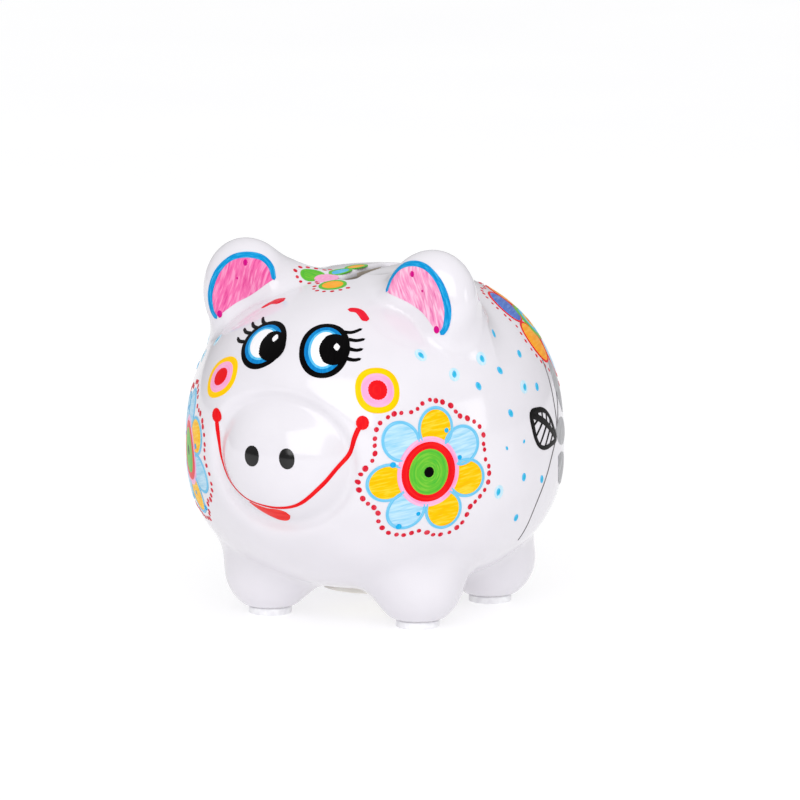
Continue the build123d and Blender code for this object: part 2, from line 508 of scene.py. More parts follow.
def reskinned(bm: bmesh.types.BMesh, voxel: float,
              cutters: Sequence[bmesh.types.BMesh] = ()) -> bmesh.types.BMesh:
    """Turns overlapping closed shells into one even skin.

    Args:
        bm: The shells, freed here.
        voxel: The size of the new skin's faces.
        cutters: Closed shells that are taken away first, freed here.
    Returns:
        The new skin.
    """
    blank = new_object("blank", bm)
    scratch = [blank]
    for cutter in cutters:
        scratch.append(new_object("cutter", cutter))
        cut = blank.modifiers.new("cut", "BOOLEAN")
        cut.operation = "DIFFERENCE"
        cut.solver = "EXACT"
        cut.object = scratch[-1]
    remesh = blank.modifiers.new("skin", "REMESH")
    remesh.mode = "VOXEL"
    remesh.voxel_size = voxel
    depsgraph = bpy.context.evaluated_depsgraph_get()
    mesh = bpy.data.meshes.new_from_object(blank.evaluated_get(depsgraph))
    skin = bmesh.new()
    skin.from_mesh(mesh)
    bpy.data.meshes.remove(mesh)
    for old in scratch:
        old_mesh = old.data
        bpy.data.objects.remove(old)
        bpy.data.meshes.remove(old_mesh)
    return skin


@dataclass
class CeramicCasting:
    """The pig's casting: rough masses joined into one skin, hollowed, and pressed onto the form."""

    form: PigForm
    rough_voxel: float = 2.4
    fine_voxel: float = 1.28
    relaxing_rounds: int = 3
    tail_beads: int = 24
    glaze_depth: float = 2.2

    def add_ball(self, bm: bmesh.types.BMesh, centre: Sequence[float], radii: Sequence[float],
                 lean: float = 0.0, detail: int = 4) -> None:
        """Adds a rough mass to a mesh in hand: an ellipsoid that leans by an angle in degrees."""
        place = Matrix.Translation(centre) @ Matrix.Rotation(math.radians(lean), 4, "Y")
        place = place @ Matrix.Diagonal((*radii, 1.0))
        bmesh.ops.create_icosphere(bm, subdivisions=detail, radius=1.0, matrix=place)

    def masses(self) -> bmesh.types.BMesh:
        """Makes the solid masses: egg, face, snout, legs, ears and tail."""
        form = self.form
        bm = bmesh.new()
        egg_z = form.centre_z + (form.rise - form.drop) / 2
        radii = (form.half_width, form.half_length, (form.rise + form.drop) / 2)
        self.add_ball(bm, (0, 0, egg_z), radii, detail=5)
        self.add_ball(bm, form.face_centre, form.face_radii)
        self.add_ball(bm, form.snout_centre, form.snout_radii)
        for place in form.leg_places:
            self.add_ball(bm, (*place, form.leg_z), (form.leg_radius,) * 3)
        for side in (1, -1):
            x, y, z = form.ear_centre
            self.add_ball(bm, (side * x, y, z), form.ear_radii, side * form.ear_lean)
        for bead in range(self.tail_beads):
            turn = math.radians(form.tail_turn * bead / (self.tail_beads - 1))
            away = form.tail_radius * Vector((math.cos(turn), 0, math.sin(turn)))
            self.add_ball(bm, Vector(form.tail_centre) + away, (form.tail_thickness[1],) * 3, detail=2)
        return bm

    def chamber(self) -> bmesh.types.BMesh:
        """Makes the hollow's masses: egg, snout and legs, each a wall's thickness smaller."""
        form = self.form
        bm = bmesh.new()
        egg_z = form.centre_z + (form.rise - form.drop) / 2
        radii = (form.half_width, form.half_length, (form.rise + form.drop) / 2)
        self.add_ball(bm, (0, 0, egg_z), [r - form.wall for r in radii], detail=5)
        self.add_ball(bm, form.snout_centre, [r - form.wall for r in form.snout_radii])
        leg_z, leg_radius = form.leg_z + form.leg_hollow_lift, form.leg_radius - form.wall
        for place in form.leg_places:
            self.add_ball(bm, (*place, leg_z), (leg_radius,) * 3)
        return bm

    def prism(self, radius: float, stretch: float, centre: Sequence[float],
              height: float) -> bmesh.types.BMesh:
        """Makes an upright cutter with round ends.

        Args:
            radius: The radius of its ends.
            stretch: How far each end is moved out along Y.
            centre: The middle of its foot.
            height: Its height.
        Returns:
            The cutter as a mesh in hand.
        """
        bm = bmesh.new()
        bmesh.ops.create_circle(bm, cap_ends=True, segments=48, radius=radius)
        for vert in bm.verts:
            vert.co.y += math.copysign(stretch, vert.co.y)
        bmesh.ops.translate(bm, verts=bm.verts, vec=centre)
        risen = bmesh.ops.extrude_face_region(bm, geom=bm.faces[:])
        tops = [item for item in risen["geom"] if isinstance(item, bmesh.types.BMVert)]
        bmesh.ops.translate(bm, verts=tops, vec=(0, 0, height))
        bmesh.ops.recalc_face_normals(bm, faces=bm.faces)
        return bm

    def pressed(self, bm: bmesh.types.BMesh, shape: Field) -> bmesh.types.BMesh:
        """Presses a skin onto a field, and evens out its faces as it goes."""
        verts = bm.verts[:]
        for _ in range(self.relaxing_rounds):
            move_to(verts, self.form.settle(coordinates(verts), shape))
            bmesh.ops.smooth_vert(bm, verts=verts, factor=0.5, use_axis_x=True, use_axis_y=True,
                                  use_axis_z=True)
        move_to(verts, self.form.settle(coordinates(verts), shape))
        return bm

    def build(self) -> None:
        """Makes the casting, glazed outside and bare clay inside, in the CAD casting's place."""
        form = self.form
        outer = self.pressed(reskinned(self.masses(), self.rough_voxel), form.outside)
        inner = self.pressed(reskinned(self.chamber(), self.rough_voxel), form.hollow)
        straight = (form.slot_length - form.slot_width) / 2
        slot_foot = (0, form.slot_centre_y, form.centre_z)
        slot = self.prism(form.slot_width / 2, straight, slot_foot, 2 * form.rise)
        hole = self.prism(form.hole_radius, 0.0, (0, 0, -form.drop), form.drop + form.centre_z)
        skin = self.pressed(reskinned(outer, self.fine_voxel, (inner, slot, hole)), form.solid)
        places = coordinates(skin.verts)
        normals = form.normals(places, form.solid)
        depths = form.outside(face_middles(skin))
        # Faces deeper than the glaze take the bisque, whose darkened taupe paints the shade inside the
        # slot.
        for face, depth in zip(skin.faces, depths):
            face.material_index = int(depth < -self.glaze_depth)
        move_to(skin.verts, form.to_frame(places))
        casting = new_object("glazed_casting", skin, (GLAZE.material(), BISQUE_AND_SLOT_SHADE.material()))
        casting.data.normals_split_custom_set_from_vertices(normals)
        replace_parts(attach(casting, BODY), SHELL)
        log.info("glazed_casting: %d faces", len(casting.data.polygons))


# ---- drawing on the glaze -------------------------------------------------------------------------
def smooth_line(points: Sequence, closed: bool = False) -> np.ndarray:
    """Draws a smooth line through points.

    Args:
        points: The points that it passes through.
        closed: Whether it comes back to its first point.
    Returns:
        The line's points.
    """
    knots = np.asarray(points, float)
    if closed:
        knots = np.vstack([knots[-1], knots, knots[:2]])
    else:
        knots = np.vstack([2 * knots[0] - knots[1], knots, 2 * knots[-1] - knots[-2]])
    t = np.linspace(0, 1, SPAN_STEPS, endpoint=False)[:, None]
    spans = []
    for a, b, c, d in zip(knots, knots[1:], knots[2:], knots[3:]):
        bend = (2 * a - 5 * b + 4 * c - d) * t ** 2 + (3 * b - a - 3 * c + d) * t ** 3
        spans.append(0.5 * (2 * b + (c - a) * t + bend))
    return np.vstack([*spans, knots[-2]])


def lengths_along(line: np.ndarray) -> np.ndarray:
    """Gives the distance along a line to each of its points."""
    return np.concatenate([[0.0], np.cumsum(np.linalg.norm(np.diff(line, axis=0), axis=1))])


def at_lengths(line: np.ndarray, wanted: np.ndarray) -> np.ndarray:
    """Gives the points of a line at the wanted distances along it."""
    along = lengths_along(line)
    return np.stack([np.interp(wanted, along, column) for column in line.T], -1)


def at_shares(line: np.ndarray, shares: np.ndarray) -> np.ndarray:
    """Gives the points of a line at shares of its length."""
    return at_lengths(line, shares * lengths_along(line)[-1])


def oval(centre: Sequence[float], radii: Sequence[float], turn: float = 0.0, count: int = 16) -> np.ndarray:
    """Gives points round an oval that is turned by an angle in degrees."""
    angles = np.linspace(0, 2 * math.pi, count, endpoint=False)
    around = np.stack([radii[0] * np.cos(angles), radii[1] * np.sin(angles)], -1)
    return np.asarray(centre) + turned(around, turn)


def turned(flat: np.ndarray, degrees: float) -> np.ndarray:
    """Turns flat points about zero by an angle in degrees."""
    c, s = math.cos(math.radians(degrees)), math.sin(math.radians(degrees))
    return flat @ np.array([[c, s], [-s, c]])


class Spot:
    """A place on the glaze, with flat axes to draw on: right and up as seen from outside."""

    clearance = 25.0

    def __init__(self, form: PigForm, near: Sequence[float], facing: Sequence[float] | None = None) -> None:
        """Finds the spot on the outer surface.

        Args:
            form: The pig's form.
            near: A point near the spot.
            facing: The direction that the drawing faces, or None for straight out of the glaze.
        """
        self.form = form
        if facing is None:
            self.origin = form.settle(np.asarray([near], float), rounds=8)[0]
            self.normal = form.normals(self.origin[None])[0]
        else:
            self.origin, self.normal = np.asarray(near, float), np.asarray(facing, float)
        up = np.array([0.0, 0.0, 1.0]) - self.normal * self.normal[2]
        self.up = up / np.linalg.norm(up)
        self.right = np.cross(self.up, self.normal)

    def drop(self, flat: np.ndarray) -> np.ndarray:
        """Drops flat points straight onto the glaze."""
        above = self.origin + flat[:, :1] * self.right + flat[:, 1:2] * self.up
        return self.form.march(above + self.clearance * self.normal, -self.normal)


class Film:
    """One pen's part of a motif: a thin raised film of paint that follows the glaze.

    The films of one motif lie a step above each other, and each is highest along its middle, the crown.
    """

    lowest = 0.10
    layer_step = 0.05
    crown = 0.07
    thickness = 0.34
    spacing = 0.8
    weld = 0.004
    heading_reach = 0.3
    line_faces_across = 4
    blob_face_depth = 1.1
    blob_faces_per_mm = 5
    area_faces = (30, 18)

    def __init__(self, form: PigForm, name: str, finish: PenFinish, layer: int = 0,
                 grain: float = 90.0) -> None:
        """Starts an empty film.

        Args:
            form: The pig's form.
            name: The piece's name.
            finish: The pen.
            layer: How many films lie under this one.
            grain: The direction of the pen's strokes in a filled area, in degrees.
        """
        self.form = form
        self.name = name
        self.finish = finish
        self.lift = self.lowest + layer * self.layer_step
        self.grain = grain
        self.bm = bmesh.new()
        self.bm.loops.layers.uv.new(STROKE_MAP)

    def lay(self, steps: tuple[int, int], shape: Callable) -> None:
        """Adds one patch of paint.

        Args:
            steps: The patch's number of faces each way.
            shape: Turns two shares from 0 to 1 into places on the glaze, fullness and stroke coordinates.
        """
        sheet = bmesh.new()
        bmesh.ops.create_grid(sheet, x_segments=steps[0], y_segments=steps[1], size=1.0)
        verts = sheet.verts[:]
        shares = coordinates(verts) / 2 + 0.5
        places, fullness, strokes = shape(shares[:, 0], shares[:, 1])
        rise = self.lift + self.crown * fullness
        places = places + self.form.normals(places) * rise[:, None]
        layer = sheet.loops.layers.uv.new(STROKE_MAP)
        sheet.verts.index_update()
        for face in sheet.faces:
            for loop in face.loops:
                loop[layer].uv = strokes[loop.vert.index]
        move_to(verts, places)
        bmesh.ops.remove_doubles(sheet, verts=verts, dist=self.weld)
        scratch = bpy.data.meshes.new("patch")
        sheet.to_mesh(scratch)
        sheet.free()
        self.bm.from_mesh(scratch)
        bpy.data.meshes.remove(scratch)

    def blob(self, spot: Spot, centre: Sequence[float], radii: Sequence[float], turn: float = 0.0,
             squareness: float = 2.0, swirl: bool = False) -> "Film":
        """Adds a filled oval.

        Args:
            spot: The spot that it is drawn about.
            centre: The oval's middle.
            radii: Its half width and half height.
            turn: Its turn in degrees.
            squareness: 1 gives a diamond, 2 an oval and more a rounded box.
            swirl: Whether the pen went round and round instead of to and fro.
        Returns:
            The film.
        """
        size = max(radii)
        steps = (max(2, round(size / self.blob_face_depth)), max(12, round(size * self.blob_faces_per_mm)))

        def shape(reach: np.ndarray, around: np.ndarray) -> tuple:
            angle = 2 * math.pi * around
            c, s = np.cos(angle), np.sin(angle)
            edge = (np.abs(c) ** squareness + np.abs(s) ** squareness) ** (-1 / squareness)
            flat = np.stack([c * radii[0], s * radii[1]], -1) * (edge * reach)[:, None]
            strokes = np.stack([reach * size, size * np.abs(around - 0.5) * 4], -1)
            flat = np.asarray(centre) + turned(flat, turn)
            strokes = strokes if swirl else turned(flat, 90 - self.grain)
            return spot.drop(flat), 1 - reach ** 4, strokes

        self.lay(steps, shape)
        return self

    def line(self, spot: Spot, points: Sequence, widths: Sequence[float], closed: bool = False) -> "Film":
        """Adds a pen line of a changing width, with round ends.

        Args:
            spot: The spot that it is drawn about.
            points: The points that it passes through.
            widths: Its widths, evenly spaced from start to end.
            closed: Whether it comes back to its first point.
        Returns:
            The film.
        """
        path = spot.drop(smooth_line(points, closed))
        total = lengths_along(path)[-1]
        probe = min(self.heading_reach, total / 8)

        def shape(along: np.ndarray, across: np.ndarray) -> tuple:
            run = along * total
            half = np.interp(along, np.linspace(0, 1, len(widths)), widths) / 2
            before, after = run - probe, run + probe
            if closed:
                before, after = before % total, after % total
            else:
                to_end = np.minimum(run, total - run)
                half = half * np.sqrt(np.clip(1 - (1 - np.minimum(to_end / half, 1)) ** 2, 0.0004, 1))
            heading = at_lengths(path, after) - at_lengths(path, before)
            centre = at_lengths(path, run)
            side = np.cross(self.form.normals(centre), heading)
            side /= np.maximum(np.linalg.norm(side, axis=1, keepdims=True), 1e-9)
            offset = (2 * across - 1) * half
            places = self.form.settle(centre + side * offset[:, None], rounds=3)
            return places, 1 - (2 * across - 1) ** 4, np.stack([offset, run], -1)

        faces_along = max(6, round(total / min(self.spacing, max(widths) / 2)))
        self.lay((faces_along, self.line_faces_across), shape)
        return self

    def area(self, spot: Spot, low: Sequence, high: Sequence) -> "Film":
        """Adds a filled area between two lines that start and end together."""
        low_line, high_line = smooth_line(low), smooth_line(high)

        def shape(along: np.ndarray, across: np.ndarray) -> tuple:
            lower, upper = at_shares(low_line, along), at_shares(high_line, along)
            flat = lower + (upper - lower) * across[:, None]
            edge = np.maximum(np.abs(2 * along - 1), np.abs(2 * across - 1))
            return spot.drop(flat), 1 - edge ** 6, turned(flat, 90 - self.grain)

        self.lay(self.area_faces, shape)
        return self

    def done(self) -> None:
        """Finishes the film as a piece that rides on the bank."""
        places = coordinates(self.bm.verts)
        move_to(self.bm.verts, self.form.to_frame(places))
        for edge in self.bm.edges:
            edge.smooth = not edge.is_boundary
        piece = new_object(self.name, self.bm, (self.finish.material(),))
        depth = piece.modifiers.new("depth of paint", "SOLIDIFY")
        depth.thickness = self.thickness * MM
        depth.offset = -1.0
        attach(piece, BODY)
        log.info("%s: %d faces", self.name, len(piece.data.polygons))


class Side(Enum):
    """The pig's own left and right, as a sign along X."""

    LEFT = 1
    RIGHT = -1

    @property
    def label(self) -> str:
        """The side's name in lower case."""
        return self.name.lower()


# ---- the painted face -----------------------------------------------------------------------------
@dataclass
class Eye:
    """A big painted eye that looks to its right as seen: outline, iris ring, white, pupil and lashes."""

    form: PigForm
    side: Side
    place: tuple
    centre: tuple
    radii: tuple
    lean: float
    pupil: tuple
    pupil_radii: tuple
    glint: tuple
    lashes: tuple
    outline: float = 1.9
    iris: float = 1.5
    iris_light: float = 0.9
    lash_widths: tuple = (1.7, 1.4, 1.1)
    glint_radii: tuple = (1.35, 1.9)

    def inside(self, inset: float) -> tuple[float, float]:
        """Gives the eye's radii, drawn in by an inset."""
        return self.radii[0] - inset, self.radii[1] - inset

    def paint(self) -> None:
        """Paints the eye from its black ground upwards."""
        spot = Spot(self.form, self.place)
        name = f"eye_{self.side.label}_"
        black = PenFinish(Ink.BLACK, patchiness=0.3, roughness=0.18)
        white = PenFinish(Ink.WHITE, patchiness=0.3)
        ground = Film(self.form, name + "outline", black)
        ground.blob(spot, self.centre, self.radii, self.lean, 2.15)
        for lash in self.lashes:
            ground.line(spot, lash, self.lash_widths)
        ground.done()
        ringed = self.outline + self.iris
        ovals = (("iris", PenFinish(Ink.IRIS_BLUE, stroke_mm=1.2), self.centre, self.inside(self.outline)),
                 ("iris_light", PenFinish(Ink.SKY, stroke_mm=1.2), self.centre, self.inside(ringed)),
                 ("white", white, self.centre, self.inside(ringed + self.iris_light)),
                 ("pupil", black, self.pupil, self.pupil_radii))
        for layer, (part, pen, centre, radii) in enumerate(ovals, 1):
            Film(self.form, name + part, pen, layer).blob(spot, centre, radii, self.lean).done()
        glint = Film(self.form, name + "glint", white, len(ovals) + 1)
        glint.blob(spot, self.glint, self.glint_radii, turn=8.0, squareness=1.35).done()


@dataclass
class Face:
    """The painting on the front of the pig but for its ears: eyes, brows, cheeks, mouth and nostrils."""

    form: PigForm
    cheek_rings: tuple = ((Ink.YELLOW, 1.0), (Ink.ROSE, 0.745), (Ink.RED, 0.46))
    mouth: tuple = ((-27.4, 80.7), (-27.4, 71.2), (-26.4, 63.9), (-23.0, 56.7), (-16.5, 52.9),
                    (-10.4, 50.9), (0.8, 49.7), (9.8, 51.9), (18.3, 59.0), (23.6, 66.2), (27.2, 72.0),
                    (30.6, 80.6))
    mouth_widths: tuple = (1.7, 1.3, 1.0, 0.8, 0.8, 0.9, 1.3, 1.6, 1.7, 1.6, 1.7, 1.9)
    tongue: tuple = ((-13.0, 50.3), (-8.0, 48.0), (-2.6, 46.5), (3.4, 46.4))
    tongue_widths: tuple = (1.2, 5.4, 8.4, 8.8)
    smile_ends: tuple = ((-27.6, -72.8, 81.0), (31.4, -70.2, 82.0))
    smile_end_radii: tuple = (2.4, 2.6)
    nostril_shapes: tuple = ((-6.7, 3.3, 6.0), (7.7, 2.9, 8.0))
    nostril_half_height: float = 3.8
    brow_shapes: tuple = (
        (Side.LEFT, (15.8, -50.3, 117.8), ((-0.6, 3.4), (3.4, 2.3), (6.0, -3.4)), (2.4, 3.2, 3.3)),
        (Side.RIGHT, (-19.2, -44.4, 119.3), ((-3.0, -4.2), (-1.3, 0.4), (3.8, 3.2)), (2.0, 3.9, 5.0)))

    def eyes(self) -> None:
        """Paints both eyes."""
        Eye(self.form, Side.LEFT, (14.0, -66.6, 106.6), (-0.2, 0.95), (9.2, 11.8), 0.0,
            (3.3, 0.9), (5.9, 6.7), (4.3, 1.7),
            (((5.6, 9.0), (9.0, 9.2), (12.4, 11.6)), ((7.6, 5.8), (11.0, 5.6), (14.0, 6.9)),
             ((8.2, 1.7), (11.4, 1.3), (13.8, 2.4)), ((7.8, -2.6), (11.0, -2.9), (13.5, -1.9)))).paint()
        Eye(self.form, Side.RIGHT, (-10.7, -67.0, 107.2), (-1.1, 0.7), (9.7, 11.0), 36.0,
            (3.7, 0.2), (5.6, 6.8), (3.5, 3.3),
            (((-5.4, 9.4), (-8.2, 10.6), (-11.0, 13.4)), ((-8.6, 7.4), (-11.8, 8.4), (-14.8, 10.8)),
             ((-10.4, 4.8), (-14.0, 5.6), (-17.2, 7.8)),
             ((-11.0, 0.8), (-14.6, 1.4), (-17.4, 3.4)))).paint()

    def brows(self) -> None:
        """Paints a short curved brow over each eye."""
        pen = PenFinish(Ink.BROW_RED, patchiness=0.4)
        for side, place, points, widths in self.brow_shapes:
            Film(self.form, f"brow_{side.label}", pen).line(Spot(self.form, place), points, widths).done()

    def cheeks(self) -> None:
        """Paints the round cheeks, each in three rings."""
        for side, place, centre, radii, lean in (
                (Side.LEFT, (34.3, -63.9, 93.3), (0.0, 0.0), (8.2, 8.5), 0.0),
                (Side.RIGHT, (-26.8, -68.8, 94.5), (-1.5, 0.0), (9.4, 7.8), 20.0)):
            spot = Spot(self.form, place)
            for layer, (ink, share) in enumerate(self.cheek_rings):
                ring = Film(self.form, f"cheek_{side.label}_{ink.name.lower()}",
                            PenFinish(ink, stroke_mm=1.1, patchiness=0.35), layer)
                ring.blob(spot, centre, (radii[0] * share, radii[1] * share), lean,
                          squareness=2.0 + 0.3 * share, swirl=True).done()

    def smile(self) -> None:
        """Paints the long smile with its round ends, and the tongue under it."""
        spot = Spot(self.form, (0.0, -90.0, 0.0), FRONT)
        tongue = Film(self.form, "tongue", PenFinish(Ink.CORAL, stroke_mm=1.6, patchiness=0.6), 0)
        tongue.line(spot, self.tongue, self.tongue_widths).done()
        smile = Film(self.form, "smile", PenFinish(Ink.RED), 1)
        smile.line(spot, self.mouth, self.mouth_widths).done()
        ends = Film(self.form, "smile_ends", PenFinish(Ink.RED), 2)
        for near in self.smile_ends:
            ends.blob(Spot(self.form, near), (0, 0), self.smile_end_radii)
        ends.done()

    def nostrils(self) -> None:
        """Paints two upright black ovals on the snout."""
        film = Film(self.form, "nostrils", PenFinish(Ink.BLACK, patchiness=0.2, roughness=0.12, shine=0.5))
        for x, half_width, lean in self.nostril_shapes:
            spot = Spot(self.form, (x, -84.0, 69.0))
            film.blob(spot, (0, 0), (half_width, self.nostril_half_height), lean, squareness=2.1)
        film.done()

    def paint(self) -> None:
        """Paints the whole face."""
        self.eyes()
        self.brows()
        self.cheeks()
        self.smile()
        self.nostrils()


@dataclass
class EarPaint:
    """The pink inside of an ear under a blue line that follows the ear's rim."""

    form: PigForm
    side: Side
    ink: Ink
    inner_lift: float
    top_drop: float
    rim: tuple = ((23.4, 124.4), (25.4, 130.4), (29.4, 134.8), (35.4, 136.4), (41.2, 134.8), (46.4, 129.4),
                  (49.2, 121.4), (48.6, 114.6), (46.4, 110.9))
    fold: tuple = ((23.8, 124.6), (28.6, 123.4), (33.4, 121.5), (39.2, 117.9), (45.6, 111.8))
    rim_width: tuple = (1.6, 2.3, 2.5, 2.3, 2.0, 2.4, 2.6, 2.5, 1.9)
    pools: tuple = ((34.6, 132.4, 1.0), (45.0, 112.8, 1.1), (38.4, 126.4, 0.5))

    def shifted(self, line: tuple) -> np.ndarray:
        """Gives a line of the ear on its side, with its inner end lifted and its top lowered by the given
        amounts.
        """
        shares = np.linspace(0, 1, len(line))
        lift = self.inner_lift * np.clip(1 - 2.5 * shares, 0, 1) - self.top_drop * np.sin(np.pi * shares)
        return (np.asarray(line) + np.stack([0 * lift, lift], -1)) * [self.side.value, 1.0]

    def paint(self) -> None:
        """Paints the ear's inside, then the pools of dark pink and the blue line."""
        rim, fold = self.shifted(self.rim), self.shifted(self.fold)
        inner = fold[0] + (rim - fold[0]) * 0.985
        inner[-1] = fold[-1]
        low, high = (fold, inner) if self.side is Side.LEFT else (fold[::-1], inner[::-1])
        spot = Spot(self.form, (0.0, -70.0, 0.0), FRONT)
        name = f"ear_{self.side.label}_"
        lean = 90.0 + self.side.value * 18.0
        pink = PenFinish(self.ink, stroke_mm=1.0, stroke_length_mm=8.0, patchiness=0.9)
        Film(self.form, name + "pink", pink, 0, lean).area(spot, low, high).done()
        pools = Film(self.form, name + "pools", PenFinish(Ink.MAGENTA), 1)
        for x, z, radius in self.pools:
            pools.blob(spot, (self.side.value * x, z), (radius, radius * 1.3))
        pools.done()
        blue = PenFinish(Ink.EAR_BLUE, stroke_mm=0.7, stroke_length_mm=5.0, patchiness=0.7)
        Film(self.form, name + "rim_line", blue, 2).line(spot, rim, self.rim_width).done()


# ---- flowers, dots and leaves ---------------------------------------------------------------------
@dataclass
class Petal:
    """One petal: the direction it points in, its fill, how far out its middle lies and its half sizes."""

    angle: float
    ink: Ink
    middle: float = 16.0
    half_length: float = 7.2
    half_width: float = 6.7

    def centre(self) -> np.ndarray:
        """Gives the petal's middle."""
        angle = math.radians(self.angle)
        return self.middle * np.array([math.cos(angle), math.sin(angle)])

    def outline(self, grown: float = 0.0, count: int = 16) -> np.ndarray:
        """Gives points round the petal, grown outwards by a distance."""
        radii = (self.half_length + grown, self.half_width + grown)
        return oval(self.centre(), radii, self.angle, count)


@dataclass
class Flower:
    """A round flower: petals behind a ringed eye, with a string of dots round the whole."""

    form: PigForm
    name: str
    place: tuple
    petals: list[Petal]
    rings: tuple
    outline_ink: Ink = Ink.LINE_BLUE
    outline_width: float = 1.25
    drops: tuple = ()
    dot_count: int = 54
    dot_gap: float = 2.8
    dot_radius: float = 0.92
    dots_on: tuple = (0.0, 360.0)
    shift: tuple = (0.0, 0.0)

    def contour(self) -> np.ndarray:
        """Gives the closed line that the string of dots follows, a little outside the petals."""
        step, spread = 3, 5
        angles = np.radians(np.arange(0, 361, step))
        reach = np.zeros(len(angles))
        for petal in self.petals:
            edge = petal.outline(self.dot_gap, 90)
            bearings = np.unwrap(np.arctan2(edge[:, 1], edge[:, 0]))
            for lap in (-2 * math.pi, 0.0, 2 * math.pi):
                for bearing, point in zip(bearings, edge):
                    near = np.abs(bearing + lap - angles) < math.radians(step)
                    reach[near] = np.maximum(reach[near], np.hypot(*point))
        lapped = np.concatenate([reach[-spread:-1], reach, reach[1:spread]])
        smooth = np.convolve(lapped, np.ones(spread) / spread, "same")[spread - 1:1 - spread]
        return np.stack([smooth * np.cos(angles), smooth * np.sin(angles)], -1)

    def placed(self, flat: np.ndarray) -> np.ndarray:
        """Shifts flat points into the flower's place about its spot."""
        return np.atleast_2d(flat) + np.asarray(self.shift)

    def paint(self) -> None:
        """Paints the petals, the eye and the dots."""
        spot = Spot(self.form, self.place)
        for ink in sorted({petal.ink for petal in self.petals}, key=lambda tone: tone.name):
            pen = PenFinish(ink, stroke_mm=1.1, patchiness=0.55)
            fill = Film(self.form, f"{self.name}_{ink.name.lower()}", pen, grain=10.0)
            for petal in self.petals:
                if petal.ink is ink:
                    inner = (petal.half_length - 0.3, petal.half_width - 0.3)
                    fill.blob(spot, self.placed(petal.centre())[0], inner, petal.angle, squareness=2.2)
            fill.done()
        edges = Film(self.form, f"{self.name}_petal_lines", PenFinish(self.outline_ink, stroke_mm=0.6), 1)
        widths = (self.outline_width, self.outline_width * 0.8, self.outline_width)
        for petal in self.petals:
            edges.line(spot, self.placed(petal.outline()), widths, closed=True)
        edges.done()
        for layer, (ink, radii) in enumerate(self.rings):
            pen = PenFinish(ink, stroke_mm=1.0)
            ring = Film(self.form, f"{self.name}_ring_{ink.name.lower()}", pen, 2 + layer)
            ring.blob(spot, self.shift, radii, swirl=True).done()
        if self.drops:
            pools = Film(self.form, f"{self.name}_pools", PenFinish(Ink.DROP_BLUE), 3)
            for a, b, radius in self.drops:
                pools.blob(spot, self.placed(np.array([a, b]))[0], (radius, radius))
            pools.done()
        self.string_of_dots(spot)

    def string_of_dots(self, spot: Spot) -> None:
        """Paints the dots, each a little out of line and out of size as a hand leaves them."""
        chance = random.Random(self.name)
        ring = self.contour()
        total = lengths_along(ring)[-1]
        dots = Film(self.form, f"{self.name}_dots", PenFinish(Ink.DOT_RED, patchiness=0.6), 0)
        for number in range(self.dot_count):
            run = total * (number + chance.uniform(-0.16, 0.16)) / self.dot_count
            place = at_lengths(ring, np.array([run % total]))[0] * chance.uniform(0.985, 1.015)
            bearing = math.degrees(math.atan2(place[1], place[0])) % 360
            size = self.dot_radius * chance.uniform(0.78, 1.12)
            if self.dots_on[0] <= bearing <= self.dots_on[1]:
                dots.blob(spot, self.placed(place)[0], (size, size * chance.uniform(1.0, 1.25)), bearing)
        dots.done()


@dataclass
class DewDots:
    """Loose blue dots scattered over a flank, some of them in a pale halo."""

    form: PigForm
    side: Side
    haloed: tuple = ((43, 34), (66, 32), (54, 28), (83, 22), (68, -8))
    plain: tuple = ((62, 24), (73, 28), (76, 39), (87, 32), (91, 21), (74, 15), (79, -5), (90, -7),
                    (79, -18))
    tiny: tuple = ((79, 6), (71, 5))

    def spot(self, azimuth: float, elevation: float) -> Spot:
        """Finds the spot in a direction from the middle of the body, in degrees."""
        a, e = math.radians(azimuth), math.radians(elevation)
        way = np.array([self.side.value * math.sin(a) * math.cos(e), -math.cos(a) * math.cos(e),
                        math.sin(e)])
        middle = np.array([0.0, 0.0, self.form.centre_z])
        return Spot(self.form, self.form.march((middle + way * 110.0)[None], -way)[0])

    def paint(self) -> None:
        """Paints the halos, then the dots."""
        chance = random.Random(self.side.label)
        parts = (("halos", Ink.HALO, 1.2), ("drops", Ink.SKY, 0.5), ("cores", Ink.DEW, 0.5))
        halos, drops, cores = films = [
            Film(self.form, f"dew_{self.side.label}_{part}", PenFinish(ink, stroke_mm=stroke), layer)
            for layer, (part, ink, stroke) in enumerate(parts)]
        sizes = {**dict.fromkeys(self.haloed, 1.1), **dict.fromkeys(self.plain, 1.15),
                 **dict.fromkeys(self.tiny, 0.55)}
        for place, size in sizes.items():
            spot = self.spot(*place)
            lean = chance.uniform(-30, 30)
            if place in self.haloed:
                halos.blob(spot, (0.0, 0.0), (2.2, 2.6), lean)
            off = (chance.uniform(-0.3, 0.3), chance.uniform(-0.2, 0.2))
            drops.blob(spot, off, (size, size * 1.4), lean)
            cores.blob(spot, off, (size * 0.62, size * 0.85), lean)
        for film in films:
            film.done()


